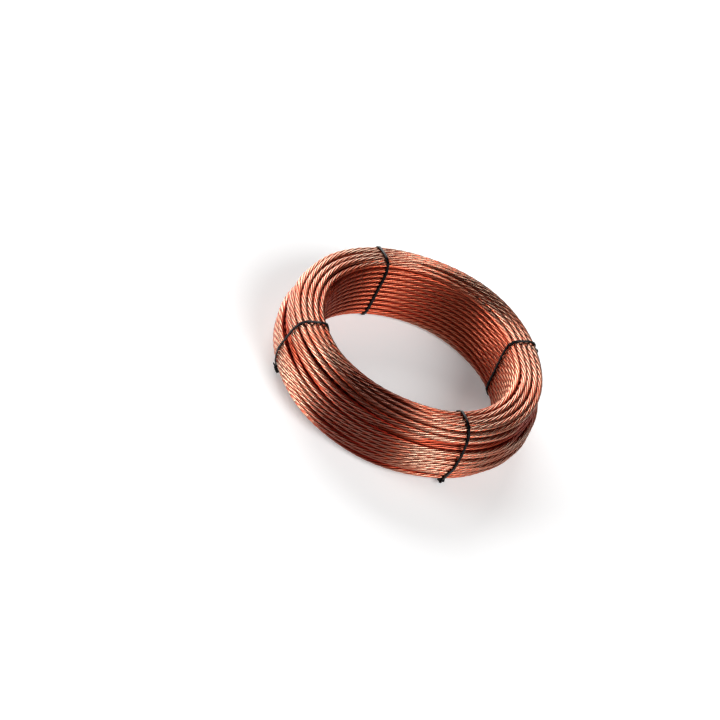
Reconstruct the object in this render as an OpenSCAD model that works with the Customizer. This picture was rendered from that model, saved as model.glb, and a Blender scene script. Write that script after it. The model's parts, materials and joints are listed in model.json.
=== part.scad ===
// Coil of bare stranded earth wire, wound in layers and held by four cable ties.
// The bundle of turns lies flat. Its axis is +Z, and the origin is on that axis,
// at the height of the flats under the four straps, which is what the coil rests on.

/* [Wire] */
// Outer diameter of the stranded wire
wire_d = 5.1; // [3.5:0.1:8]
// Least gap between neighbouring turns on the outside of the bundle
turn_gap = 0.1; // [0:0.05:0.6]
// How far the core fills the grooves between turns, out from the turns' centres
groove_fill = 1.2; // [0.8:0.1:1.6]

/* [Bundle] */
// Bore of the coil, across the crests of its innermost turns
bore_d = 172.6; // [140:0.2:220]
// Radial thickness of the bundle of turns
bundle_t = 34.7; // [24:0.1:60]
// Height of the bundle of turns
bundle_h = 64.4; // [45:0.1:100]
// Squareness of the bundle's corners round the bore: 2 is an ellipse
bore_squareness = 6.6; // [2:0.1:9]
// Squareness of the bundle's corners round the outside
outer_squareness = 2.7; // [2:0.1:9]

/* [Valley] */
// Height of the sunken turns round the outside, above the bundle's middle
valley_rise = 10.5; // [0:0.5:14]
// Width of the band in which turns are sunken, from edge to edge
valley_w = 16; // [8:0.5:24]
// Depth of the band along its middle
valley_depth = 5.2; // [0:0.1:6]

/* [Ties] */
// Where the ties stand round the coil: right, back, left and front
tie_angles = [35, 128.5, 212.5, 309]; // [0:0.5:360]
// Width of the strap
strap_w = 2.5; // [1.8:0.1:5]
// Thickness of the strap
strap_t = 1.1; // [0.6:0.1:2]
// Gap between the strap and the crests that it bridges
strap_gap = 0.1; // [0.08:0.01:0.3]
// How much of the strap is pressed flat above and below the bundle
strap_flat = 0.06; // [0.02:0.01:0.2]

/* [Tie heads] */
// Where each head sits round the section: 0 is outermost, 90 is the top
head_places = [60, 50, -72, -72]; // [-72:1:72]
// Width of the head across the strap
head_w = 4.7; // [3:0.1:8]
// Length of the head along the strap
head_l = 4.9; // [3:0.1:8]
// Thickness of the head above the strap's end that it grips
head_roof = 0.9; // [0.5:0.1:2]
// Corner cut along the top of the head
head_chamfer = 0.6; // [0.2:0.1:1]
// Length of the cut strap end that stands out of the head
tail_l = 4; // [1:0.5:12]
// Gap between the strap and the cut end that lies over it
tail_gap = 0.2; // [0.1:0.05:0.5]
// Angle at which the cut end leans away from the strap
tail_skew = 35; // [0:1:60]

/* [Hidden] */
RIGHT = 0;
BACK = 1;
LEFT = 2;
FRONT = 3;

copper = [0.80, 0.47, 0.33];
black = [0.05, 0.05, 0.06];

wire_r = wire_d / 2;
coil_h = bundle_h + 2 * (strap_gap + strap_t - strap_flat);
middle_r = bore_d / 2 + bundle_t / 2;
middle_z = coil_h / 2;

// The lay line runs round the section, through the centres of the outside turns.
// It is a rounded rectangle in polar form, seen from the middle of the section.
lay_half_t = bundle_t / 2 - wire_r;
lay_half_h = bundle_h / 2 - wire_r;

function squareness(phi) = cos(phi) < 0 ? bore_squareness : outer_squareness;
function reach(phi, n) =
    pow(pow(abs(cos(phi)) / lay_half_t, n) + pow(abs(sin(phi)) / lay_half_h, n), -1 / n);
function lay_point(phi) =
    [middle_r, middle_z] + reach(phi, squareness(phi)) * [cos(phi), sin(phi)];

// Unit vector out of the bundle, square to the lay line
function outward(phi) =
    let(along = lay_point(phi + 0.5) - lay_point(phi - 0.5))
    [along.y, -along.x] / norm(along);

// Distance walked along the lay line for each degree, and the way back to the angle
walk = [for (i = 0, s = 0; i <= 360; s = s + norm(lay_point(i + 1) - lay_point(i)), i = i + 1) [s, i]];
lay_length = walk[360][0];
turn_count = floor(lay_length / (wire_d + turn_gap));
function turn_angle(k) = lookup((k + 0.5) * lay_length / turn_count, walk);

// Turns in the valley lie deeper, the more so the nearer they are to its middle
valley_z = middle_z + valley_rise;
function sink(p) =
    let(off = abs(p.y - valley_z) / (valley_w / 2))
    p.x > middle_r && off < 1 ? valley_depth * (1 + cos(180 * off)) / 2 : 0;
function turn_centre(phi) =
    let(p = lay_point(phi))
    p - sink(p) * outward(phi);
turn_angles = [for (k = [0:turn_count - 1]) turn_angle(k)];
turn_centres = [for (phi = turn_angles) turn_centre(phi)];
core_line = [for (phi = turn_angles) turn_centre(phi) + groove_fill * outward(phi)];

// Outline of a strap's face that lies out beyond the lay line by a given distance
band_step = 4;
function settled(p) = [p.x, min(max(p.y, 0), coil_h)];
function band_line(out) =
    [for (phi = [0:band_step:360 - band_step]) settled(lay_point(phi) + out * outward(phi))];
strap_in = wire_r + strap_gap;
strap_out = strap_in + strap_t;
head_h = 2 * strap_t + tail_gap + head_roof;

// One wound length of wire: the turns of the outside stand on a core as full as the turns inside
module wire_coil() {
    color(copper)
        rotate_extrude($fn = 180) {
            polygon(core_line);
            for (centre = turn_centres)
                translate(centre) circle(r = wire_r, $fn = 32);
        }
}

// Flat strap round the bundle's section, in the XZ plane
module strap() {
    rotate([90, 0, 0])
        linear_extrude(height = strap_w, center = true)
            difference() {
                polygon(band_line(strap_out));
                polygon(band_line(strap_in));
            }
}

// Head with the cut end that comes back out over the strap; X runs along the strap, Z outwards
module head() {
    top_l = head_l / 2 - head_chamfer;
    side_h = head_h - head_chamfer;
    rotate([90, 0, 0])
        linear_extrude(height = head_w, center = true)
            polygon([[-head_l / 2, 0], [head_l / 2, 0], [head_l / 2, side_h],
                     [top_l, head_h], [-top_l, head_h], [-head_l / 2, side_h]]);
    rotate([0, 0, 180 + tail_skew])
        translate([0, -strap_w / 2, strap_t + tail_gap])
            cube([head_l / 2 + tail_l, strap_w, strap_t]);
}

// One tie stands at an angle round the coil, with its head at a place round the section
module tie(place) {
    phi = head_places[place];
    out = outward(phi);
    seat = lay_point(phi) + strap_in * out;
    color(black)
        rotate([0, 0, tie_angles[place]]) {
            strap();
            translate([seat.x, 0, seat.y])
                rotate([0, 90 - atan2(out.y, out.x), 0])
                    head();
        }
}

module tie_right() tie(RIGHT);
module tie_back() tie(BACK);
module tie_left() tie(LEFT);
module tie_front() tie(FRONT);

wire_coil();
tie_right();
tie_back();
tie_left();
tie_front();
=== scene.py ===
import json
import math

import bmesh
import bpy
import numpy as np
from bpy.props import FloatProperty, FloatVectorProperty, IntProperty, PointerProperty
from mathutils import Matrix, Quaternion, Vector
from mathutils.geometry import convex_hull_2d


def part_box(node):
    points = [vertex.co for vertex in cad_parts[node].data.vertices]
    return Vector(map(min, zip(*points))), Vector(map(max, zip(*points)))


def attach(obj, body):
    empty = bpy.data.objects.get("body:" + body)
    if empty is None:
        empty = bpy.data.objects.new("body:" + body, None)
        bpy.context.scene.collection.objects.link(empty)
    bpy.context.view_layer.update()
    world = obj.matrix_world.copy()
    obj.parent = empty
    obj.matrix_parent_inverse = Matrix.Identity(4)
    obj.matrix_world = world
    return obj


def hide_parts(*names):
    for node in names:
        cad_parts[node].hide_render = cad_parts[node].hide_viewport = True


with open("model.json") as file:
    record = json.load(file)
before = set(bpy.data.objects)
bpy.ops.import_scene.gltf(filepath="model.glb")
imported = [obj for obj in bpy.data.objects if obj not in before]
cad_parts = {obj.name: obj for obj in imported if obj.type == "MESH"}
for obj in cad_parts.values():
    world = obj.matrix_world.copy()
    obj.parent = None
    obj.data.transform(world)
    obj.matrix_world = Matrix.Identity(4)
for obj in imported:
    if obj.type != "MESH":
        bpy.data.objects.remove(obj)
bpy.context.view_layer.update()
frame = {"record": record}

bl_info = {
    "name": "Earth Wire Coil",
    "version": (1, 0, 0),
    "blender": (4, 5, 0),
    "location": "View3D > Sidebar > Wire Coil",
    "description": "Winds a coil of bare stranded copper wire, ties it and lays it on a floor",
    "category": "Add Mesh",
}

MM = 0.001
TIE_NODES = ("tie_right", "tie_back", "tie_left", "tie_front")
COIL_LOW, COIL_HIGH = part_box("wire_coil")
MOUNTS = {mount["name"]: mount for mount in frame["record"]["mounts"]}
BORE_R = MOUNTS["spindle_bore"]["dims"]["r_mm"] * MM
COIL_R = COIL_HIGH[0]


# ---------------- sizes and colours


class WireSettings(bpy.types.PropertyGroup):
    """Sizes and colours of the stranded wire and of its winding"""

    diameter: FloatProperty(
        name="Wire Diameter", description="Outer diameter of the stranded wire",
        default=5.1 * MM, min=3 * MM, max=9 * MM, unit="LENGTH")
    lay_length: FloatProperty(
        name="Lay Length", description="Length in which a strand goes once round the wire",
        default=52 * MM, min=25 * MM, max=120 * MM, unit="LENGTH")
    lanes: IntProperty(
        name="Lanes", description="Turns side by side round the bundle in an even winding",
        default=30, min=12, max=40)
    outside_turns: IntProperty(
        name="Outside Turns", description="Turns that show on the outside of the bundle",
        default=30, min=12, max=40)
    valley_depth: FloatProperty(
        name="Valley Depth", description="How deep the turns sink in the valley round the outside",
        default=4.8 * MM, min=0, max=8 * MM, unit="LENGTH")
    inside_turns: IntProperty(
        name="Inside Turns", description="Turns in the layer under the outside ones",
        default=24, min=8, max=36)
    buried_turns: IntProperty(
        name="Buried Turns", description="Turns in the layer under the inside ones",
        default=18, min=6, max=30)
    layer_depth: FloatProperty(
        name="Layer Depth", description="Depth of the inside turns under the outside ones",
        default=4.75 * MM, min=3 * MM, max=9 * MM, unit="LENGTH")
    end_lift: FloatProperty(
        name="End Lift", description="How far the free end of the wire springs off the bundle",
        default=2.4 * MM, min=0, max=10 * MM, unit="LENGTH")
    slackness: FloatProperty(
        name="Slackness", description="How far turns stray from their lanes between the ties",
        default=1.0, min=0.0, max=2.0, subtype="FACTOR")
    copper: FloatVectorProperty(
        name="Copper", description="Colour of bright drawn copper, on the crests",
        default=(0.52, 0.335, 0.235), min=0, max=1, subtype="COLOR")
    tarnish: FloatVectorProperty(
        name="Tarnish", description="Colour of the crests where they have been handled",
        default=(0.46, 0.145, 0.078), min=0, max=1, subtype="COLOR")
    # Painted shade: crest colour on the bore wall, darker and redder for the shade and copper
    # reflections there
    painted_bore_shade: FloatVectorProperty(
        name="Sheltered", description="Colour of the crests on the bore wall, where nothing rubs",
        default=(0.56, 0.145, 0.075), min=0, max=1, subtype="COLOR")
    # Painted light: crest colour in a lighter patch on the bore wall, standing in for light bounced
    # in from the floor
    painted_bore_light: FloatVectorProperty(
        name="Cleaner", description="Colour of the crests in the cleaner patch on the bore wall",
        default=(0.80, 0.41, 0.26), min=0, max=1, subtype="COLOR")
    # Painted shade: colour of the sides of strands and turns, darker and redder for the shade and
    # reflections between them
    flank_shade: FloatVectorProperty(
        name="Flank", description="Colour of the copper on the sides of strands and turns",
        default=(0.50, 0.082, 0.037), min=0, max=1, subtype="COLOR")
    # Painted shade: colour down between the strands and between the turns
    groove: FloatVectorProperty(
        name="Groove", description="Colour of the copper down between the turns",
        default=(0.18, 0.012, 0.0065), min=0, max=1, subtype="COLOR")
    # Painted shade: crest colour in a dark patch on the outside at the front, standing in for shade
    # and dark reflections there
    painted_front_shade: FloatVectorProperty(
        name="Browned", description="Colour of the crests in the patch that has browned most",
        default=(0.27, 0.10, 0.072), min=0, max=1, subtype="COLOR")


class TieSettings(bpy.types.PropertyGroup):
    """Sizes and colour of the cable ties"""

    strap_w: FloatProperty(
        name="Strap Width", description="Width of the strap",
        default=2.5 * MM, min=1.5 * MM, max=5 * MM, unit="LENGTH")
    strap_t: FloatProperty(
        name="Strap Thickness", description="Thickness of the strap",
        default=1.1 * MM, min=0.6 * MM, max=2 * MM, unit="LENGTH")
    tooth: FloatProperty(
        name="Tooth Pitch", description="Distance between the teeth on the strap's inner face",
        default=0.9 * MM, min=0.5 * MM, max=2 * MM, unit="LENGTH")
    head_w: FloatProperty(
        name="Head Width", description="Width of the head across the strap",
        default=4.7 * MM, min=3 * MM, max=8 * MM, unit="LENGTH")
    head_l: FloatProperty(
        name="Head Length", description="Length of the head along the strap",
        default=4.9 * MM, min=3 * MM, max=8 * MM, unit="LENGTH")
    head_h: FloatProperty(
        name="Head Height", description="Height of the head above the turns",
        default=3.3 * MM, min=2 * MM, max=6 * MM, unit="LENGTH")
    tail: FloatProperty(
        name="Cut End", description="Length of the cut strap end that stands out of the head",
        default=4 * MM, min=1 * MM, max=12 * MM, unit="LENGTH")
    skew: FloatProperty(
        name="Cut End Lean", description="Angle at which the cut end leans away from the strap",
        default=math.radians(35), min=0, max=math.radians(60), subtype="ANGLE")
    nylon: FloatVectorProperty(
        name="Nylon", description="Colour of the black nylon",
        default=(0.002, 0.002, 0.0024), min=0, max=1, subtype="COLOR")


class StageSettings(bpy.types.PropertyGroup):
    """Floor, lamps and camera"""

    floor: FloatVectorProperty(
        name="Floor", description="Colour of the floor",
        default=(0.93, 0.93, 0.93), min=0, max=1, subtype="COLOR")
    lift: FloatProperty(
        name="Floor Lift", description="How much brighter the floor is seen than it is lit",
        default=0.22, min=0.0, max=1.0, subtype="FACTOR")
    lens: FloatProperty(
        name="Lens", description="Focal length of the camera",
        default=113.2, min=20.0, max=300.0)


# ---------------- the section of the bundle


# How square the section's rounded outline is on the bore side and outside, where 2 is an ellipse
BORE_SQUARENESS = 6.6
OUTER_SQUARENESS = 2.7
SECTION_MIDDLE = np.array([(BORE_R + COIL_R) / 2, (COIL_LOW[2] + COIL_HIGH[2]) / 2])


def half_sizes(pulled_in=0.0):
    """Half the width and half the height of the outline through the centres of a layer's turns"""
    size = np.array([COIL_R - BORE_R, COIL_HIGH[2] - COIL_LOW[2]])
    return size / 2 - bpy.context.scene.coil_wire.diameter / 2 - pulled_in


def reach(phi, half_t, half_h):
    """Distance from the section's middle to its rounded outline, at an angle from straight out"""
    c = np.cos(phi)
    s = np.sin(phi)
    n = np.where(c < 0, BORE_SQUARENESS, OUTER_SQUARENESS)
    return ((np.abs(c) / half_t) ** n + (np.abs(s) / half_h) ** n) ** (-1 / n)


def walked_along(points):
    """Length walked from the first point of a line to each of its points"""
    return np.concatenate([[0], np.cumsum(np.linalg.norm(np.diff(points, axis=0), axis=1))])


def beside(points):
    """Unit vectors to the right of the way along a closed line of points"""
    along = np.roll(points, -1, 0) - np.roll(points, 1, 0)
    along /= np.linalg.norm(along, axis=1)[:, None]
    return np.stack([along[:, 1], -along[:, 0]], -1)


def looked_up(at, places, table):
    """Rows of a table, read between the places that they stand for"""
    return np.stack([np.interp(at, places, column) for column in table.T], -1)


class LayLine:
    """Closed line round the bundle's section on which the centres of a layer's turns lie.

    Points are (distance from the axis, height). The line lies deeper than the outside layer's
    by inset, square to it, or by pulled_in, on a smaller outline of the same kind."""

    SAMPLES = 2880

    def __init__(self, lanes, inset=0.0, pulled_in=0.0):
        phi = np.linspace(0, 2 * math.pi, self.SAMPLES + 1)
        rim = reach(phi, *half_sizes(pulled_in))
        points = SECTION_MIDDLE + rim[:, None] * np.stack([np.cos(phi), np.sin(phi)], -1)
        outward = beside(points[:-1])
        self.outward = np.concatenate([outward, outward[:1]])
        self.points = points - inset * self.outward
        self.lanes = lanes
        walked = walked_along(self.points)
        self.place = walked / walked[-1] * lanes

    def at(self, place, height):
        """Points at places counted in lanes, raised out of the line by a height"""
        wrapped = np.mod(place, self.lanes)
        points, outward = (looked_up(wrapped, self.place, table)
                           for table in (self.points, self.outward))
        return points + height[..., None] * outward


# ---------------- values round the coil


FEET = [MOUNTS[node.replace("tie", "foot")]["pos_m"] for node in TIE_NODES]
# Azimuths of the ties in degrees, from the right one over the back and the left to the front
TIE_AZIMUTHS = [math.degrees(math.atan2(y, x)) % 360 for x, y, _ in FEET]


def past_ties(azimuth):
    """How many ties lie before an azimuth, with the part of the way to the next one"""
    knots = [TIE_AZIMUTHS[-1] - 360, *TIE_AZIMUTHS, TIE_AZIMUTHS[0] + 360]
    return np.interp(np.mod(azimuth, 360), knots, range(len(knots)))


def between_ties(azimuth):
    """0 at each tie, rising to 1 midway between two"""
    return np.sin(math.pi * (past_ties(azimuth) % 1)) ** 2


def eased(azimuth, values):
    """A value that is given at each tie and runs smoothly from one tie to the next"""
    place = past_ties(azimuth)
    before = np.floor(place).astype(int)
    part = step_up(place - before, 0, 1)
    values = np.array([values[-1], *values, values[0]])
    return values[before] * (1 - part) + values[before + 1] * part


def step_up(value, low, high):
    """Smooth step from 0 at low to 1 at high"""
    part = np.clip((value - low) / (high - low), 0, 1)
    return part * part * (3 - 2 * part)


def off_by(value, middle, cycle=360):
    """How far a value lies past the nearest middle, where middles come back once a cycle"""
    return np.mod(value - middle + cycle / 2, cycle) - cycle / 2


def hump(value, middle, half):
    """1 at a middle angle, falling smoothly to 0 at half a width from it, in degrees"""
    return np.cos(np.clip(off_by(value, middle) / half, -1, 1) * math.pi / 2) ** 2


def waves(rng, lane, azimuth, waviness, count=7):
    """Smooth random field over lanes and azimuth, about 1 high, that closes after a full turn"""
    total = np.zeros(np.broadcast(lane, azimuth).shape)
    for _ in range(count):
        across = rng.uniform(-waviness, waviness)
        around = rng.integers(1, 6)
        phase = rng.uniform(0, 2 * math.pi)
        total = total + np.cos(across * lane + around * np.radians(azimuth) + phase)
    return total / math.sqrt(count / 2)


# ---------------- the winding


STEPS_PER_TURN = 200
FREE_END_AZIMUTH = 146.0
FREE_END_LANE = -4.6
WINDING_SEED = 7

# In lanes at each tie: how far the turns on top drift outwards, and the middle and half the
# width of the valley round the outside
DRIFT = (0.3, 0.0, 0.2, -1.0)
VALLEY_MIDDLE = (3.1, 2.6, 2.1, 2.7)
VALLEY_HALF = (2.1, 1.5, 0.95, 0.6)
# The valley's soft edge, and how much wider it is under the outside layer, in lanes
VALLEY_EDGE = 0.35
VALLEY_UNDER = 0.5

# Gaps that open between two turns of the outside layer: lane where the gap starts,
# azimuth where it is widest, half its length in degrees, and its width in lanes
GAPS = (
    (8.9, 161, 34, 0.35),
    (7.7, 172, 26, 0.3),
    (6.9, 150, 34, 0.6),
    (5.9, 186, 26, 0.2),
    (9.0, 350, 30, 0.3),
    (6.9, 352, 34, 0.25),
    (5.2, 348, 26, 0.3),
    (8.3, 269, 20, 0.5),
    (5.0, 232, 24, 0.3),
)
# How sharply a gap opens, and how many lanes beside it make room
GAP_SHARPNESS = 4
GAP_FADE = 1.6

# Where the bundle is pulled in (below 0) or bulges (above 0): azimuth, half its length in
# degrees, place round the section (0 outermost, 90 top), half its width in degrees, how far
UNEVEN = (
    (308, 46, -66, 52, -3.0 * MM),
    (214, 34, -66, 46, -1.8 * MM),
    (212, 36, 44, 40, -2.0 * MM),
    (168, 46, 40, 76, -2.0 * MM),
    (352, 30, -10, 40, -1.0 * MM),
)
# Where the whole bundle stands out further than a circle: azimuth, half its length, how far
OUT_OF_ROUND = (66, 46, 2.3 * MM)

# How far outside turns stray between the ties, sideways in lanes and up and down in mm, how far
# some sink at the ties, in mm, how far all bulge, and how much calmer they lie on the bore wall
STRAY_SIDEWAYS = 0.14
STRAY_LIFT = 0.9
TIE_SINK = 0.7
BULGE = 0.4 * MM
BORE_CALM = 0.7
# How far inside turns stray sideways, in lanes, and bulge
INSIDE_STRAY = 0.1
INSIDE_BULGE = 0.25 * MM
# How quickly the straying changes from turn to turn, sideways and in height
WAVY_SIDEWAYS = 1.2
WAVY_LIFT = 3.0

# How close two turns may lie, in wire diameters
CLOSEST = 0.985
# How often overlapping turns are pushed apart, and how much of the overlap goes each time:
# among outside turns, from inside turns to outside ones, and the other way
SETTLE_ROUNDS = 80
SETTLE_PUSHES = (0.4, 0.15, 0.3)
# The same among outside turns once the bundle is uneven
RELAX_ROUNDS = 40
RELAX_PUSH = 0.3
# How many steps along the wire are evened together
SMOOTHING = 3
# Steps over which each end of the wire leaves its layer
END_STEPS = 12


def turn_steps():
    """Steps of a turn as parts of it, from the free end's azimuth, and their azimuths in degrees"""
    steps = np.arange(STEPS_PER_TURN)[None, :] / STEPS_PER_TURN
    return steps, np.mod(FREE_END_AZIMUTH + 360 * steps, 360)


def steps_to(azimuth):
    """Number of steps from the free end's azimuth to another one"""
    return round(np.mod(azimuth - FREE_END_AZIMUTH, 360) / 360 * STEPS_PER_TURN)


def outside_places(wire, lane, azimuth):
    """Places of the outside turns, in lanes, from their lane in an even winding"""
    # The turns on top drift together, the outside follows by a third of that, and the bore wall
    # takes up the rest
    share = step_up(lane, 16, 8.6) * (0.35 + 0.65 * step_up(lane, 1.5, 3.5))
    place = lane + eased(azimuth, DRIFT) * (share * step_up(lane, -6, 0))
    first = FREE_END_LANE + wire.outside_turns
    for gap_lane, gap_azimuth, half_length, width in GAPS:
        walked = np.mod(gap_azimuth - FREE_END_AZIMUTH, 360) / 360
        centre = first - walked - np.round(first - walked - gap_lane - 0.5)
        side = lane - (centre - 0.5 - off_by(azimuth, gap_azimuth) / 360)
        opened = width / 2 * hump(azimuth, gap_azimuth, half_length)
        place = place + opened * np.tanh(side * GAP_SHARPNESS) * np.exp(-np.abs(side) / GAP_FADE)
    return place


def valley(azimuth, place, wider=0.0):
    """1 for places in the valley round the outside, where turns sink, and 0 beside it"""
    half = eased(azimuth, VALLEY_HALF)
    # It is wider past the right tie, and closes between the left tie and the front one
    half = half + 0.7 * hump(azimuth, 356, 34)
    half = half * (1 - 0.95 * hump(azimuth, 262, 42)) + wider
    lanes = bpy.context.scene.coil_wire.lanes
    off = np.abs(off_by(place, eased(azimuth, VALLEY_MIDDLE), lanes))
    return step_up(off, half + VALLEY_EDGE, half - VALLEY_EDGE)


def outside_layer(wire, rng, loose):
    """Section points of the outside turns, not settled yet, and how deep in the valley they are"""
    steps, azimuth = turn_steps()
    turn = np.arange(wire.outside_turns)[:, None]
    lane = FREE_END_LANE + wire.lanes - (turn + steps) * wire.lanes / wire.outside_turns
    on_bore = step_up(lane, 9.0, 10.2) * step_up(lane, 20, 18)
    calm = 1 - BORE_CALM * on_bore
    place = outside_places(wire, lane, azimuth)
    place = place + STRAY_SIDEWAYS * loose * calm * waves(rng, lane, azimuth, WAVY_SIDEWAYS)
    uneven = waves(rng, lane, azimuth, WAVY_LIFT)
    sunk = TIE_SINK * (1 - loose) * np.minimum(uneven, 0)
    lift = MM * calm * (STRAY_LIFT * loose * uneven + sunk)
    bulge = BULGE * loose * (1 - on_bore)
    deep = valley(azimuth, place)
    height = lift * (1 - deep) + bulge - wire.valley_depth * deep
    return LayLine(wire.lanes).at(place, height), deep


def inside_layer(wire, rng, loose):
    """Section points of the turns under the outside ones, not settled yet"""
    steps, azimuth = turn_steps()
    turn = np.arange(wire.inside_turns)[:, None]
    lane = FREE_END_LANE - wire.inside_turns + 1 + turn + steps
    place = lane + INSIDE_STRAY * waves(rng, lane, azimuth, WAVY_SIDEWAYS)
    deep = valley(azimuth, lane * wire.lanes / wire.inside_turns, VALLEY_UNDER)
    line = LayLine(wire.inside_turns, inset=wire.layer_depth)
    return line.at(place, INSIDE_BULGE * loose - wire.valley_depth * deep)


def buried_layer(wire):
    """Section points of the turns under the inside layer, which close the bundle to the eye"""
    steps, azimuth = turn_steps()
    lane = FREE_END_LANE + np.arange(wire.buried_turns)[:, None] + steps
    deep = valley(azimuth, lane * wire.lanes / wire.buried_turns, VALLEY_UNDER)
    line = LayLine(wire.buried_turns, pulled_in=2 * wire.layer_depth)
    return smoothed(uneven_bundle(line.at(lane, -wire.valley_depth * deep), azimuth))


def wound(wire):
    """Section points of the outside and inside turns along the wire, and how deep they lie"""
    rng = np.random.default_rng(WINDING_SEED)
    azimuth = turn_steps()[1]
    loose = between_ties(azimuth) * wire.slackness
    outside, deep = outside_layer(wire, rng, loose)
    inside = inside_layer(wire, rng, loose)
    outside, inside = settled(wire, outside, inside, loose, deep)
    outside, inside = (uneven_bundle(turns, azimuth) for turns in (outside, inside))
    for _ in range(RELAX_ROUNDS):
        push = pushes(outside, outside, wire.diameter * CLOSEST).sum(1)
        outside = on_floor(outside + push * RELAX_PUSH)
    outside, inside = smoothed(outside), smoothed(inside)
    return loosened(wire, outside), inside, deep.reshape(-1)


def pushes(turns, others, least):
    """Steps that part each turn from each other one that is closer than least in its section"""
    off = turns[:, None] - others[None, :]
    gap = np.linalg.norm(off, axis=-1)
    overlap = np.where(gap < least, (least - gap) / np.maximum(gap, 1e-9), 0)
    return off * overlap[..., None]


def settled(wire, outside, inside, loose, deep):
    """Both layers once their overlapping turns have been pushed apart in each section"""
    least = wire.diameter * CLOSEST
    allowed = 0.1 * MM + 1.5 * MM * loose - wire.valley_depth * 0.8 * deep
    among, outwards, inwards = SETTLE_PUSHES
    for _ in range(SETTLE_ROUNDS):
        push = pushes(outside, outside, least).sum(1) * among
        between = pushes(outside, inside, least)
        push += between.sum(1) * outwards
        inside = inside - between.sum(0) * inwards
        outside = held_in(outside + push, allowed)
    return outside, inside


def held_in(points, allowed):
    """Keeps points from standing out of the outermost lay line by more than is allowed"""
    off = points - SECTION_MIDDLE
    far = np.linalg.norm(off, axis=-1)
    half_t, half_h = half_sizes()
    limit = reach(np.arctan2(off[..., 1], off[..., 0]), half_t + allowed, half_h + allowed)
    return SECTION_MIDDLE + off * np.minimum(1, limit / far)[..., None]


def place_round(section):
    """Places of section points round the section in degrees, 0 outermost and 90 on top"""
    off = section - SECTION_MIDDLE
    return np.degrees(np.arctan2(off[..., 1], off[..., 0]))


def uneven_bundle(section, azimuth):
    """Section points after the ties have pulled the bundle in and it has bulged between them"""
    phi = place_round(section)
    off = section - SECTION_MIDDLE
    way = off / np.linalg.norm(off, axis=-1, keepdims=True)
    share = sum(much * hump(azimuth, at, half_length) * hump(phi, place, half_width)
                for at, half_length, place, half_width, much in UNEVEN)
    moved = section + way * share[..., None]
    at, half_length, much = OUT_OF_ROUND
    moved[..., 0] += much * hump(azimuth, at, half_length)
    return on_floor(moved)


def on_floor(section):
    """Section points kept so high that no wire lies under the floor"""
    lowest = COIL_LOW[2] + bpy.context.scene.coil_wire.diameter / 2
    section[..., 1] = np.maximum(section[..., 1], lowest)
    return section


def smoothed(turns):
    """Evens the points of consecutive turns along the wire, which it gives as one line"""
    wide = 3 * SMOOTHING
    weights = np.exp(-0.5 * (np.arange(-wide, wide + 1) / SMOOTHING) ** 2)
    weights /= weights.sum()
    padded = np.pad(turns.reshape(-1, 2), ((wide, wide), (0, 0)), mode="edge")
    return np.stack([np.convolve(column, weights, mode="valid") for column in padded.T], -1)


def loosened(wire, line):
    """Lifts the free end off the bundle a little, and sinks the other end under it"""
    ramp = np.linspace(0, 1, END_STEPS)[:, None] ** 2
    line[-END_STEPS:] += out_of_bundle(line[-END_STEPS:]) * ramp * wire.end_lift
    line[:END_STEPS] -= out_of_bundle(line[:END_STEPS]) * ramp[::-1] * wire.layer_depth
    return line


def out_of_bundle(section):
    """Unit vectors out of the bundle at points of its section"""
    half = half_sizes()
    off = section - SECTION_MIDDLE
    steep = np.sign(off) * np.abs(off / half) ** (OUTER_SQUARENESS - 1) / half
    return steep / np.linalg.norm(steep, axis=1)[:, None]


def in_space(section, first_step=0):
    """Points in space of section points that start a number of steps from the free end"""
    steps = first_step + np.arange(len(section))
    angle = np.radians(FREE_END_AZIMUTH) + 2 * math.pi * steps / STEPS_PER_TURN
    r, z = section.T
    return np.stack([r * np.cos(angle), r * np.sin(angle), z], -1)


# ---------------- helpers for nodes and objects


def add(tree, kind, inputs=(), **settings):
    """Adds a node, sets its properties, and links or sets its inputs, given by name or number"""
    node = tree.nodes.new(kind)
    for name, value in settings.items():
        setattr(node, name, value)
    for key, value in dict(inputs).items():
        if isinstance(value, bpy.types.NodeSocket):
            tree.links.new(value, node.inputs[key])
        else:
            node.inputs[key].default_value = value
    return node


def calc(tree, operation, *values):
    """Math node that works on sockets and numbers"""
    return add(tree, "ShaderNodeMath", dict(enumerate(values)), operation=operation).outputs[0]


def stored(tree, geometry, label, value, data_type="FLOAT"):
    """Geometry on whose points a value has been stored under a name"""
    inputs = {"Geometry": geometry, "Name": label, "Value": value}
    return add(tree, "GeometryNodeStoreNamedAttribute", inputs,
               data_type=data_type, domain="POINT").outputs[0]


def set_input(modifier, name, value):
    """Sets a Geometry Nodes input by its socket's identifier"""
    for item in modifier.node_group.interface.items_tree:
        if item.item_type == "SOCKET" and item.in_out == "INPUT" and item.name == name:
            modifier[item.identifier] = value
            return
    raise KeyError(name)


def new_object(name, data):
    """New object in the scene"""
    item = bpy.data.objects.new(name, data)
    bpy.context.scene.collection.objects.link(item)
    return item


def made_mesh(holder, name):
    """Turns an object's evaluated modifiers into a plain mesh object, and removes the holder"""
    view = bpy.context.evaluated_depsgraph_get()
    mesh = bpy.data.meshes.new_from_object(holder.evaluated_get(view))
    if not mesh.polygons:
        raise RuntimeError(name + " came out empty")
    mesh.name = name
    bpy.data.objects.remove(holder)
    return new_object(name, mesh)


def finished(mesh, name, sharp, material):
    """Object made from a bmesh, with edges sharp where they fold by more than an angle"""
    data = bpy.data.meshes.new(name)
    mesh.to_mesh(data)
    mesh.free()
    data.set_sharp_from_angle(angle=math.radians(sharp))
    data.materials.append(material)
    return new_object(name, data)


# ---------------- stranded wire


# Seven wires of a third of the diameter are laid up, six of them round the seventh
STRANDS = 6
# Points round each strand, on turns that show and on turns that are mostly hidden
SHOWN_POINTS = 6
HIDDEN_POINTS = 3
# Part of each strand's rim that is on the outside of the wire, in degrees
RIM = 240


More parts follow.
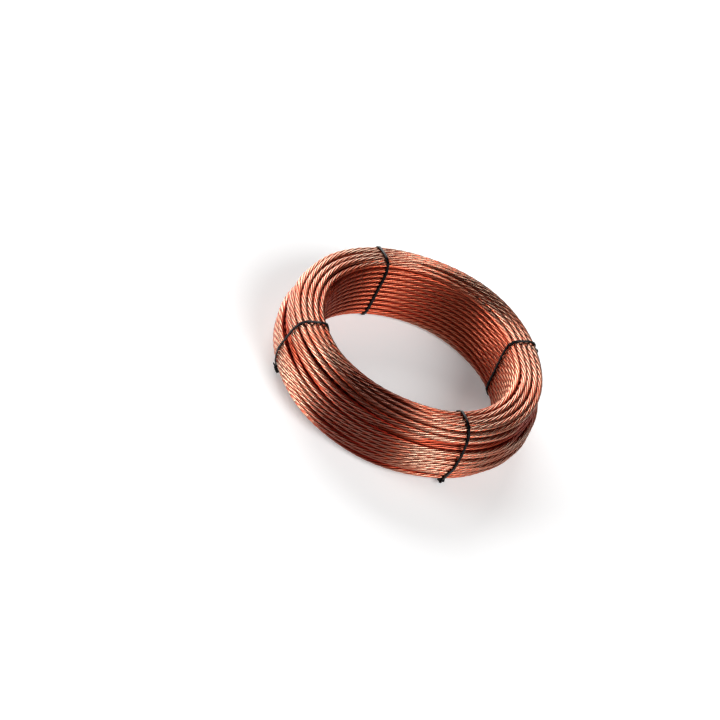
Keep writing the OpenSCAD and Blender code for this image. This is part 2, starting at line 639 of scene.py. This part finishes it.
def strand_tree():
    """Geometry Nodes that lay strands round a path as one closed skin with sharp grooves"""
    name = "Stranded Wire"
    if name in bpy.data.node_groups:
        return bpy.data.node_groups[name]
    tree = bpy.data.node_groups.new(name, "GeometryNodeTree")
    for label, kind in (("Path", "Geometry"), ("Diameter", "Float"), ("Lay Length", "Float"),
                        ("Length Before", "Float"), ("Points a Strand", "Int"),
                        ("Material", "Material")):
        tree.interface.new_socket(label, in_out="INPUT", socket_type="NodeSocket" + kind)
    tree.interface.new_socket("Wire", in_out="OUTPUT", socket_type="NodeSocketGeometry")
    given = add(tree, "NodeGroupInput").outputs

    here = add(tree, "GeometryNodeInputPosition").outputs[0]
    inputs = {"Curve": strand_path(tree, given, here), "Profile Curve": strand_outline(tree, given),
              "Fill Caps": True}
    skin = add(tree, "GeometryNodeCurveToMesh", inputs).outputs[0]

    # How far each point stands out of the bundle, from -1 on the turn's inner side to 1 on top
    middle, outward = (add(tree, "GeometryNodeInputNamedAttribute", {"Name": label},
                           data_type="FLOAT_VECTOR").outputs[0] for label in ("centre", "outward"))
    arm = add(tree, "ShaderNodeVectorMath", {0: here, 1: middle}, operation="SUBTRACT").outputs[0]
    stand = add(tree, "ShaderNodeVectorMath", {0: arm, 1: outward}, operation="DOT_PRODUCT")
    radius = calc(tree, "MULTIPLY", given["Diameter"], 0.5)
    skin = stored(tree, skin, "crest", calc(tree, "DIVIDE", stand.outputs["Value"], radius))

    # Strands are round and smooth, and meet in sharp grooves
    skin = add(tree, "GeometryNodeSetShadeSmooth", {"Geometry": skin, "Shade Smooth": True},
               domain="FACE").outputs[0]
    fold = add(tree, "GeometryNodeInputMeshEdgeAngle").outputs["Unsigned Angle"]
    sharp = add(tree, "FunctionNodeCompare", {0: fold, 1: math.radians(75)},
                operation="GREATER_THAN").outputs[0]
    inputs = {"Geometry": skin, "Selection": sharp, "Shade Smooth": False}
    skin = add(tree, "GeometryNodeSetShadeSmooth", inputs, domain="EDGE").outputs[0]
    skin = add(tree, "GeometryNodeRealizeInstances", {"Geometry": skin}).outputs[0]
    inputs = {"Geometry": skin, "Material": given["Material"]}
    skin = add(tree, "GeometryNodeSetMaterial", inputs).outputs[0]
    add(tree, "NodeGroupOutput", {"Wire": skin})
    return tree


def strand_outline(tree, given):
    """Outline of the wire: the outer arcs of six circles round its middle"""
    points = given["Points a Strand"]
    count = calc(tree, "MULTIPLY", points, STRANDS)
    ring = add(tree, "GeometryNodeCurvePrimitiveCircle", {"Resolution": count, "Radius": 1.0})
    number = add(tree, "GeometryNodeInputIndex").outputs[0]
    strand = calc(tree, "FLOOR", calc(tree, "DIVIDE", number, points))
    part = calc(tree, "FRACT", calc(tree, "DIVIDE", calc(tree, "ADD", number, 0.001), points))
    turned = calc(tree, "MULTIPLY", strand, 2 * math.pi / STRANDS)
    swing = calc(tree, "MULTIPLY_ADD", part, math.radians(RIM), math.radians(-RIM / 2))
    angle = calc(tree, "ADD", turned, swing)
    out = calc(tree, "DIVIDE", given["Diameter"], 3)
    thin = calc(tree, "DIVIDE", given["Diameter"], 6)
    place, around = [], []
    for operation in ("COSINE", "SINE"):
        centre = calc(tree, "MULTIPLY", calc(tree, operation, turned), out)
        around.append(calc(tree, operation, angle))
        place.append(calc(tree, "ADD", centre, calc(tree, "MULTIPLY", around[-1], thin)))
    place, around = (add(tree, "ShaderNodeCombineXYZ", dict(enumerate(pair))).outputs[0]
                     for pair in (place, around))
    inputs = {"Geometry": ring.outputs[0], "Position": place}
    outline = add(tree, "GeometryNodeSetPosition", inputs).outputs[0]
    groove = calc(tree, "ABSOLUTE", calc(tree, "MULTIPLY_ADD", part, 2, -1))
    outline = stored(tree, outline, "groove", groove)
    return stored(tree, outline, "around", around, "FLOAT_VECTOR")


def strand_path(tree, given, here):
    """Path of the wire, with a tilt that turns the strands left-handed as they go along it"""
    path = add(tree, "GeometryNodeMeshToCurve", {"Mesh": given["Path"]}).outputs[0]
    along = add(tree, "GeometryNodeSplineParameter").outputs["Length"]
    along = calc(tree, "ADD", along, given["Length Before"])
    path = stored(tree, path, "along", along)
    path = stored(tree, path, "centre", here, "FLOAT_VECTOR")
    path = add(tree, "GeometryNodeSetCurveNormal", {"Curve": path}, mode="Z_UP").outputs[0]
    laid = calc(tree, "DIVIDE", along, given["Lay Length"])
    tilt = calc(tree, "MULTIPLY", laid, -2 * math.pi)
    return add(tree, "GeometryNodeSetCurveTilt", {"Curve": path, "Tilt": tilt}).outputs[0]


def stranded(name, section, deep, points, material, first_step=0, before=0.0):
    """A run of stranded wire that starts a number of steps from the free end, as a plain mesh

    before is the length of wire ahead of it, so that strands go on from one run to the next."""
    wire = bpy.context.scene.coil_wire
    path = bpy.data.meshes.new(name + "_path")
    edges = [(i, i + 1) for i in range(len(section) - 1)]
    path.from_pydata(in_space(section, first_step).tolist(), edges, [])
    outward = in_space(out_of_bundle(section), first_step).reshape(-1)
    path.attributes.new("outward", "FLOAT_VECTOR", "POINT").data.foreach_set("vector", outward)
    path.attributes.new("deep", "FLOAT", "POINT").data.foreach_set("value", deep)
    holder = new_object(name + "_path", path)
    modifier = holder.modifiers.new("Strands", "NODES")
    modifier.node_group = strand_tree()
    for label, value in (("Diameter", wire.diameter), ("Lay Length", wire.lay_length),
                         ("Length Before", before), ("Points a Strand", points),
                         ("Material", material)):
        set_input(modifier, label, value)
    piece = made_mesh(holder, name)
    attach(piece, "root")
    return piece


def cut_end(outer_turns, material):
    """The seven wires that show on the cut face at the free end, each with a rounded edge"""
    data = outer_turns.data
    ring = range(len(data.vertices) - STRANDS * SHOWN_POINTS, len(data.vertices))
    middle = Vector(data.attributes["centre"].data[ring[0]].vector)
    grooves = data.attributes["groove"].data
    crests = [data.vertices[i].co - middle for i in ring if grooves[i].value < 0.01]
    if len(crests) != STRANDS:
        raise RuntimeError("the free end does not show six strands")
    along = crests[0].cross(crests[1]).normalized()
    if along.dot(Vector((-middle.y, middle.x, 0))) < 0:
        along = -along
    turned = along.to_track_quat("Z", "Y").to_matrix().to_4x4()
    radius = bpy.context.scene.coil_wire.diameter / 6 * 0.985
    length = 2 * MM
    mesh = bmesh.new()
    for number, spot in enumerate([Vector()] + [crest * (2 / 3) for crest in crests]):
        # No two wires are cut off quite level
        stand = (0.5 + 0.12 * math.sin(number * 2.4)) * MM
        place = Matrix.Translation(middle + spot + along * (stand - length / 2)) @ turned
        made = bmesh.ops.create_cone(mesh, cap_ends=True, segments=20, radius1=radius,
                                     radius2=radius, depth=length, matrix=place)
        rims = list({edge for vert in made["verts"] for edge in vert.link_edges
                     if sum(len(face.verts) > 4 for face in edge.link_faces) == 1})
        bmesh.ops.bevel(mesh, geom=rims, offset=0.12 * MM, segments=2, profile=0.6, affect="EDGES")
    piece = finished(mesh, "wire_cut_end", 40, material)
    crest = piece.data.attributes.new("crest", "FLOAT", "POINT")
    crest.data.foreach_set("value", np.ones(len(piece.data.vertices)))
    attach(piece, "root")
    return piece


# ---------------- cable ties


# Where each head sits round the section: 0 is outermost and 90 is the top
HEAD_PLACES = {"tie_right": 60, "tie_back": 50, "tie_left": -72, "tie_front": -72}
# How far each strap lies to the side, round the coil: everywhere, and more on top and outside
STRAP_SHIFTS = {
    "tie_right": (-0.6 * MM, 1.4 * MM, 0),
    "tie_back": (0.2 * MM, -0.6 * MM, 0),
    "tie_left": (-0.2 * MM, 2.2 * MM, 0),
    "tie_front": (-0.8 * MM, 0.6 * MM, -1.8 * MM),
}
# How deep the toothed track is cut on and between its teeth, as parts of the strap's thickness
TRACK_CUTS = (0.12, 0.34)
# How wide the track is, as a part of the strap
TRACK_WIDTH = 0.62
# How much of the strap's corners is cut off, as a part of its smaller half
CORNER = 0.4
# How much of each tooth's pitch is the tooth
TOOTH_PART = 0.7
# Insets that sink the window into the head's roof, each as (width, depth) in mm
WINDOW = ((1.0, 0), (0.12, -0.12), (0.02, -0.75))


def taut_line(centres, radius, pitch):
    """Points of a line pulled taut round circles, two to each tooth, and the vectors out of it"""
    turn = np.linspace(0, 2 * math.pi, 72, endpoint=False)
    rim = np.stack([np.cos(turn), np.sin(turn)], -1) * radius
    cloud = (centres[:, None] + rim[None]).reshape(-1, 2)
    hull = cloud[convex_hull_2d([tuple(p) for p in cloud])]
    closed = np.concatenate([hull, hull[:1]])
    walked = walked_along(closed)
    teeth = round(walked[-1] / pitch)
    at = (np.arange(teeth)[:, None] + (0, TOOTH_PART)).reshape(-1) * walked[-1] / teeth
    points = looked_up(at, walked, closed)
    out = beside(points)
    if np.mean(np.sum(out * (points - points.mean(0)), 1)) < 0:
        out = -out
    return points, out


def strap_section(ties, cut):
    """Outline of the strap, as (across, outwards), with its toothed track cut in by a depth"""
    w = ties.strap_w / 2
    t = ties.strap_t / 2
    track = w * TRACK_WIDTH
    corner = min(w, t) * CORNER
    return [(-w, t - corner), (-w + corner, t), (w - corner, t), (w, t - corner),
            (w, corner - t), (w - corner, -t), (track, -t), (track, cut - t),
            (-track, cut - t), (-track, -t), (corner - w, -t), (-w, corner - t)]


def add_strap(mesh, places, across, outwards, closed):
    """Adds a strap with teeth on its inner side, along points in space, to a mesh"""
    ties = bpy.context.scene.coil_ties
    rings = []
    for number, (place, side, out) in enumerate(zip(places, across, outwards)):
        outline = strap_section(ties, ties.strap_t * TRACK_CUTS[number % 2])
        rings.append([mesh.verts.new(place + side * x + out * y) for x, y in outline])
    following = rings[1:] + rings[:1] if closed else rings[1:]
    for ring, after in zip(rings, following):
        for i in range(len(ring)):
            j = (i + 1) % len(ring)
            mesh.faces.new((ring[i], ring[j], after[j], after[i]))
    if not closed:
        mesh.faces.new(reversed(rings[0]))
        mesh.faces.new(rings[-1])


def add_block(mesh, size, place, cut, segments=3):
    """Adds a block with rounded edges to a mesh"""
    made = bmesh.ops.create_cube(mesh, size=1, matrix=place @ Matrix.Diagonal((*size, 1)))
    edges = list({edge for vert in made["verts"] for edge in vert.link_edges})
    bmesh.ops.bevel(mesh, geom=edges, offset=cut, segments=segments, profile=0.6,
                    affect="EDGES", clamp_overlap=True)


def add_head(mesh, seat):
    """Adds the head with its window and pawl, in a frame with X along the strap and Z outwards"""
    ties = bpy.context.scene.coil_ties
    size = (ties.head_l, ties.head_w, ties.head_h)
    before = set(mesh.faces)
    add_block(mesh, size, seat @ Matrix.Translation((0, 0, ties.head_h / 2)), 0.45 * MM)
    up = seat.to_3x3() @ Vector((0, 0, 1))
    level = (face for face in mesh.faces if face not in before and face.normal.dot(up) > 0.99)
    roof = max(level, key=lambda face: face.calc_area())
    for width, depth in WINDOW:
        bmesh.ops.inset_region(mesh, faces=[roof], thickness=width * MM, depth=depth * MM,
                               use_even_offset=True)
    # The pawl is a tongue that leans down into the window
    lean = (Matrix.Translation((0.25 * MM, 0, ties.head_h - 0.62 * MM))
            @ Matrix.Rotation(math.radians(14), 4, "Y"))
    add_block(mesh, (1.7 * MM, 1.5 * MM, 0.45 * MM), seat @ lean, 0.1 * MM, 2)
    # A rib stands across each end
    rib = (0.36 * MM, ties.head_w * 0.7, ties.head_h * 0.62)
    for side in (-1, 1):
        place = Matrix.Translation((side * ties.head_l / 2, 0, ties.head_h * 0.42))
        add_block(mesh, rib, seat @ place, 0.12 * MM, 2)


def add_tail(mesh, seat):
    """Adds the cut end that comes back out of the head and leans over the strap"""
    ties = bpy.context.scene.coil_ties
    length = ties.head_l / 2 + ties.tail
    angle = math.pi + ties.skew
    way = Vector((math.cos(angle), math.sin(angle), 0))
    floor = ties.strap_t * 1.5 + 0.25 * MM
    places = []
    for part in np.linspace(0, 1, 2 * round(length / ties.tooth)):
        # It curls up a little past its middle
        lift = 0.5 * MM * max(0, part - 0.4) ** 2
        places.append(seat @ (way * (length * part) + Vector((0, 0, floor + lift))))
    across = seat.to_3x3() @ Vector((way.y, -way.x, 0))
    outward = seat.to_3x3() @ Vector((0, 0, 1))
    add_strap(mesh, places, [across] * len(places), [outward] * len(places), False)


def cable_tie(node, azimuth, centres, material):
    """One cable tie, pulled taut round the turns where it stands"""
    ties = bpy.context.scene.coil_ties
    wire_r = bpy.context.scene.coil_wire.diameter / 2
    points, out = taut_line(centres, wire_r + ties.strap_t / 2, ties.tooth)
    ring = Vector((math.cos(azimuth), math.sin(azimuth), 0))
    across = Vector((-ring.y, ring.x, 0))
    up = Vector((0, 0, 1))
    phi = place_round(points)
    always, on_top, outside = STRAP_SHIFTS[node]
    shift = always + on_top * np.sin(np.radians(phi)) + outside * np.cos(np.radians(phi))
    places = [ring * r + up * z + across * side for (r, z), side in zip(points, shift)]
    outwards = [ring * r + up * z for r, z in out]
    mesh = bmesh.new()
    add_strap(mesh, places, [across] * len(places), outwards, True)

    spot = int(np.argmin(np.abs(phi - HEAD_PLACES[node])))
    outward = outwards[spot]
    seat = Matrix((across.cross(outward), across, outward)).transposed().to_4x4()
    seat.translation = places[spot] - outward * ties.strap_t / 2
    add_head(mesh, seat)
    add_tail(mesh, seat)
    bmesh.ops.recalc_face_normals(mesh, faces=mesh.faces)
    piece = finished(mesh, "cable_" + node, 35, material)
    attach(piece, "root")
    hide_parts(node)
    return piece


# ---------------- materials


def new_material(name):
    """New material, with its node tree and its shader"""
    material = bpy.data.materials.new(name)
    material.use_nodes = True
    tree = material.node_tree
    return material, tree, tree.nodes["Principled BSDF"]


def blend(tree, factor, first, second):
    """Colour between two others"""
    node = add(tree, "ShaderNodeMix", {0: factor, 6: first, 7: second}, data_type="RGBA")
    return node.outputs[2]


def from_to(tree, value, low, high, first=0.0, last=1.0):
    """Smoothly runs from first at low to last at high"""
    ends = {0: value, 1: low, 2: high, 3: first, 4: last}
    return add(tree, "ShaderNodeMapRange", ends, interpolation_type="SMOOTHSTEP").outputs[0]


def noise(tree, place, scale, detail, roughness=0.5):
    """Cloudy noise over places"""
    inputs = {"Vector": place, "Scale": scale, "Detail": detail, "Roughness": roughness}
    return add(tree, "ShaderNodeTexNoise", inputs).outputs[0]


def roughen(tree, shader, height, strength, distance):
    """Bumps a shader's surface by a height"""
    inputs = {"Strength": strength, "Distance": distance, "Height": height}
    tree.links.new(add(tree, "ShaderNodeBump", inputs).outputs[0], shader.inputs["Normal"])


def stored_value(tree, label, output="Fac"):
    """A value that was stored on the mesh under a name"""
    return add(tree, "ShaderNodeAttribute", attribute_name=label).outputs[output]


def way_from(tree, flat, radius, azimuth):
    """Distance from a place given by its radius and its azimuth in degrees, seen from above"""
    angle = math.radians(azimuth)
    place = (radius * math.cos(angle), radius * math.sin(angle), 0)
    node = add(tree, "ShaderNodeVectorMath", {0: flat, 1: place}, operation="DISTANCE")
    return node.outputs["Value"]


def strand_streaks(tree):
    """Noise drawn out along the strands"""
    around = add(tree, "ShaderNodeSeparateXYZ", {0: stored_value(tree, "around", "Vector")})
    places = (*around.outputs[:2], stored_value(tree, "along"))
    drawn = [calc(tree, "MULTIPLY", place, times) for place, times in zip(places, (3, 3, 45))]
    drawn = add(tree, "ShaderNodeCombineXYZ", dict(enumerate(drawn))).outputs[0]
    return noise(tree, drawn, 1.0, 4.0, 0.6)


# Middle of the patch of painted light on the bore wall, and of the patch of painted shade on the
# outside
BORE_LIGHT_AZIMUTH = 0.0
FRONT_SHADE_AZIMUTH = 264.0


def painted_patches(tree, spot, cloud):
    """How much painted shade and painted light the copper gets at a place: shade on the bore wall,
    light in a patch of it, and shade in a patch on the outside
    """
    inputs = {0: spot, 1: (1, 1, 0)}
    flat = add(tree, "ShaderNodeVectorMath", inputs, operation="MULTIPLY").outputs[0]
    radius = way_from(tree, flat, 0, 0)
    # Painted shade darkens the bore wall, less so in a patch of painted light
    painted_bore_shade = from_to(tree, radius, BORE_R + 5 * MM, BORE_R + 2.5 * MM, 0.0, 0.9)
    away = way_from(tree, flat, BORE_R, BORE_LIGHT_AZIMUTH)
    painted_bore_light = calc(tree, "MULTIPLY", painted_bore_shade, from_to(tree, away, 55 * MM, 20 * MM))
    painted_bore_shade = calc(tree, "MULTIPLY", painted_bore_shade, from_to(tree, away, 15 * MM, 80 * MM, 0.4, 1.0))
    # The patch of painted shade on the outside has an uneven rim
    away = way_from(tree, flat, COIL_R - 8 * MM, FRONT_SHADE_AZIMUTH)
    ragged = calc(tree, "MULTIPLY_ADD", cloud, 16 * MM, away)
    return painted_bore_shade, painted_bore_light, from_to(tree, ragged, 62 * MM, 30 * MM, 0.0, 0.95)


def copper_painted_shade(tree, spot, painted_bore_shade, painted_front_shade):
    """How much painted shade a place gets: down between the strands, on the flanks of turns, in the
    valley and in the painted patches, less near the top
    """
    crest = stored_value(tree, "crest")
    patch_shade = calc(tree, "MAXIMUM", painted_bore_shade, painted_front_shade)
    # Painted shade down between the strands
    low = from_to(tree, stored_value(tree, "groove"), 0.3, 0.7, 0.0, 0.85)
    # Painted shade darkens the flanks of turns, and reaches further up in the painted patches
    for other in (from_to(tree, crest, 0.58, -0.32),
                  calc(tree, "MULTIPLY", from_to(tree, crest, 1.0, 0.4), patch_shade),
                  calc(tree, "MULTIPLY", stored_value(tree, "deep"), 0.7)):
        low = calc(tree, "MAXIMUM", low, other)
    # The painted shade is lighter near the top of the bundle
    height = add(tree, "ShaderNodeSeparateXYZ", {0: spot}).outputs[2]
    on_top = from_to(tree, height, COIL_HIGH[2] - 10 * MM, COIL_HIGH[2] - 4 * MM, 1.0, 0.6)
    return calc(tree, "MULTIPLY", low, on_top)


def copper_tone(tree, low, handled, painted_bore_shade, painted_bore_light, painted_front_shade):
    """Colour of the copper, with painted shade from its crests down to its grooves, and painted
    light and shade in its patches
    """
    wire = bpy.context.scene.coil_wire
    bright = (*wire.copper, 1)
    # Tarnish is the copper's own colour; the bore wall's colours are painted shade and painted
    # light, and the front patch's is painted shade
    for share, colour in ((handled, wire.tarnish), (painted_bore_shade, wire.painted_bore_shade),
                          (painted_bore_light, wire.painted_bore_light), (painted_front_shade, wire.painted_front_shade)):
        bright = blend(tree, share, bright, (*colour, 1))
    # Painted shade: the flanks are darker still in the front patch
    painted_front_flank = tuple(0.35 * value for value in wire.flank_shade)
    flank_shade = blend(tree, painted_front_shade, (*wire.flank_shade, 1), (*painted_front_flank, 1))
    upper = blend(tree, from_to(tree, low, 0.0, 0.5), bright, flank_shade)
    return blend(tree, from_to(tree, low, 0.4, 1.0), upper, (*wire.groove, 1))


def copper_material():
    """Drawn copper strands, brown where handled, with painted shade that leaves the crests bright
    and turns them dark red between them
    """
    material, tree, shader = new_material("Drawn Copper")
    shader.inputs["Metallic"].default_value = 1.0
    spot = add(tree, "ShaderNodeTexCoord").outputs["Object"]
    cloud = noise(tree, spot, 28.0, 3.0)
    streak = strand_streaks(tree)
    worn = calc(tree, "MULTIPLY_ADD", streak, 0.5, calc(tree, "MULTIPLY", cloud, 0.5))
    handled = from_to(tree, worn, 0.4, 0.62)
    painted_bore_shade, painted_bore_light, painted_front_shade = painted_patches(tree, spot, cloud)
    low = copper_painted_shade(tree, spot, painted_bore_shade, painted_front_shade)
    tone = copper_tone(tree, low, handled, painted_bore_shade, painted_bore_light, painted_front_shade)
    tree.links.new(tone, shader.inputs["Base Color"])
    dull = calc(tree, "MULTIPLY_ADD", low, 0.16, 0.22)
    dull = calc(tree, "MULTIPLY_ADD", handled, 0.1, dull)
    tree.links.new(dull, shader.inputs["Roughness"])
    roughen(tree, shader, streak, 0.12, 0.2 * MM)
    return material


def nylon_material():
    """Black moulded nylon with a soft, slightly uneven gloss"""
    nylon = bpy.context.scene.coil_ties.nylon
    material, tree, shader = new_material("Black Nylon")
    shader.inputs["Specular IOR Level"].default_value = 0.11
    spot = add(tree, "ShaderNodeTexCoord").outputs["Object"]
    cloud = noise(tree, spot, 160.0, 3.0)
    worn = tuple(value * 2.2 for value in nylon)
    tone = blend(tree, from_to(tree, cloud, 0.45, 0.7), (*nylon, 1), (*worn, 1))
    tree.links.new(tone, shader.inputs["Base Color"])
    tree.links.new(from_to(tree, cloud, 0.3, 0.7, 0.24, 0.4), shader.inputs["Roughness"])
    roughen(tree, shader, noise(tree, spot, 2400.0, 2.0), 0.15, 0.05 * MM)
    return material


# ---------------- operators


# Whole turns of wire before each joint between two runs of outside turns
TURNS_TO_JOINTS = (11, 19)


class COIL_OT_wind_wire(bpy.types.Operator):
    """Winds the stranded wire: the turns that show and the layers under them"""

    bl_idname = "coil.wind_wire"
    bl_label = "Wind Wire"

    def execute(self, context):
        wire = context.scene.coil_wire
        material = copper_material()
        outside, inside, deep = wound(wire)
        names = ("wire_bore_turns", "wire_top_turns", "wire_outer_turns")
        # The runs meet under the back tie, so that its strap hides the joints
        to_tie = steps_to(TIE_AZIMUTHS[TIE_NODES.index("tie_back")])
        joints = [turns * STEPS_PER_TURN + to_tie for turns in TURNS_TO_JOINTS]
        pieces = []
        before = 0.0
        for name, start, stop in zip(names, [0] + joints, joints + [len(outside)]):
            run = outside[start:stop + 1]
            pieces.append(stranded(name, run, deep[start:start + len(run)], SHOWN_POINTS,
                                   material, start, before))
            before += float(walked_along(in_space(run, start))[-1])
        outer_turns = pieces[-1]
        # The layers under the outside turns count as deep all along, so the copper material paints
        # them in shade
        for name, run in (("wire_inside_turns", inside), ("wire_buried_turns", buried_layer(wire))):
            pieces.append(stranded(name, run, np.ones(len(run)), HIDDEN_POINTS, material))
        pieces.append(cut_end(outer_turns, material))
        for piece in pieces:
            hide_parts("wire_coil")
        return {"FINISHED"}


class COIL_OT_fit_ties(bpy.types.Operator):
    """Pulls the four cable ties taut round the turns"""

    bl_idname = "coil.fit_ties"
    bl_label = "Fit Ties"

    def execute(self, context):
        material = nylon_material()
        outside = wound(context.scene.coil_wire)[0]
        turns = outside.reshape(-1, STEPS_PER_TURN, 2)
        for node, azimuth in zip(TIE_NODES, TIE_AZIMUTHS):
            cable_tie(node, math.radians(azimuth), turns[:, steps_to(azimuth)], material)
        return {"FINISHED"}


class COIL_OT_set_stage(bpy.types.Operator):
    """Lays the floor, hangs the lamps and places the camera"""

    bl_idname = "coil.set_stage"
    bl_label = "Set Stage"

    def execute(self, context):
        lay_floor()
        hang_lamps()
        place_camera()
        return {"FINISHED"}


def lay_floor():
    """Pale floor under the coil, as wide as any view of it needs"""
    half = 30.0
    mesh = bpy.data.meshes.new("floor")
    corners = [(-half, -half, 0), (half, -half, 0), (half, half, 0), (-half, half, 0)]
    mesh.from_pydata(corners, [], [(0, 1, 2, 3)])
    floor = new_object("floor", mesh)
    stage = bpy.context.scene.coil_stage
    material, tree, shader = new_material("Pale Floor")
    shader.inputs["Base Color"].default_value = (*stage.floor, 1)
    shader.inputs["Roughness"].default_value = 1.0
    shader.inputs["Specular IOR Level"].default_value = 0.0
    shader.inputs["Emission Strength"].default_value = 1.0
    lifted = calc(tree, "MULTIPLY", seen_ray(tree), stage.lift)
    tint = add(tree, "ShaderNodeCombineColor", {0: lifted, 1: lifted, 2: lifted})
    tree.links.new(tint.outputs[0], shader.inputs["Emission Color"])
    mesh.materials.append(material)


def seen_ray(tree):
    """1 for the rays that show a surface: straight, in a reflection or through glass"""
    rays = add(tree, "ShaderNodeLightPath").outputs
    seen = calc(tree, "MAXIMUM", rays["Is Camera Ray"], rays["Is Glossy Ray"])
    return calc(tree, "MAXIMUM", seen, rays["Is Transmission Ray"])


def sun(name, azimuth, elevation, strength, spread):
    """Soft lamp from a direction, with the same light over the whole floor"""
    data = bpy.data.lights.new(name, "SUN")
    data.energy = strength
    data.angle = math.radians(spread)
    a = math.radians(azimuth)
    e = math.radians(elevation)
    toward = Vector((math.cos(a) * math.cos(e), math.sin(a) * math.cos(e), math.sin(e)))
    lamp = new_object(name, data)
    lamp.rotation_mode = "QUATERNION"
    lamp.rotation_quaternion = toward.to_track_quat("Z", "Y")


def hang_lamps():
    """A wide lamp behind on the left, a low one left, a high one right, and a dim room"""
    sun("back_lamp", 120, 20, 3.6, 60)
    sun("left_lamp", 192, 5, 4.0, 38)
    sun("right_lamp", 320, 36, 2.6, 38)
    world = bpy.data.worlds.new("Room")
    bpy.context.scene.world = world
    world.use_nodes = True
    back = world.node_tree.nodes["Background"]
    back.inputs["Color"].default_value = (1, 1, 1, 1)
    back.inputs["Strength"].default_value = 0.03


def place_camera():
    """Camera that looks down from the front, turned so that the coil leans to the right"""
    stand = Vector((-0.0007, -1.5691, 1.2108))
    aim = Vector((-0.0381, -0.0124, 0.0183))
    roll = Quaternion((0, 0, 1), math.radians(26.51))
    data = bpy.data.cameras.new("Camera")
    data.lens = bpy.context.scene.coil_stage.lens
    data.sensor_width = 36.0
    data.clip_start = 0.01
    data.clip_end = 100.0
    camera = new_object("Camera", data)
    camera.location = stand
    camera.rotation_mode = "QUATERNION"
    camera.rotation_quaternion = (aim - stand).to_track_quat("-Z", "Y") @ roll
    bpy.context.scene.camera = camera
    bpy.context.scene.view_settings.view_transform = "Standard"


class COIL_PT_panel(bpy.types.Panel):
    """Lists the coil's settings and the steps that build it"""

    bl_idname = "COIL_PT_panel"
    bl_label = "Wire Coil"
    bl_space_type = "VIEW_3D"
    bl_region_type = "UI"
    bl_category = "Wire Coil"

    def draw(self, context):
        layout = self.layout
        for group in ("coil_wire", "coil_ties", "coil_stage"):
            settings = getattr(context.scene, group)
            box = layout.box()
            for name in settings.__annotations__:
                box.prop(settings, name)
        for step in STEPS:
            layout.operator(step)


STEPS = ("coil.wind_wire", "coil.fit_ties", "coil.set_stage")
CLASSES = (WireSettings, TieSettings, StageSettings, COIL_OT_wind_wire, COIL_OT_fit_ties,
           COIL_OT_set_stage, COIL_PT_panel)


def register():
    for item in CLASSES:
        bpy.utils.register_class(item)
    bpy.types.Scene.coil_wire = PointerProperty(type=WireSettings)
    bpy.types.Scene.coil_ties = PointerProperty(type=TieSettings)
    bpy.types.Scene.coil_stage = PointerProperty(type=StageSettings)


def unregister():
    del bpy.types.Scene.coil_wire
    del bpy.types.Scene.coil_ties
    del bpy.types.Scene.coil_stage
    for item in reversed(CLASSES):
        bpy.utils.unregister_class(item)


def main():
    register()
    bpy.ops.coil.wind_wire()
    bpy.ops.coil.fit_ties()
    bpy.ops.coil.set_stage()


if __name__ == "__main__":
    main()
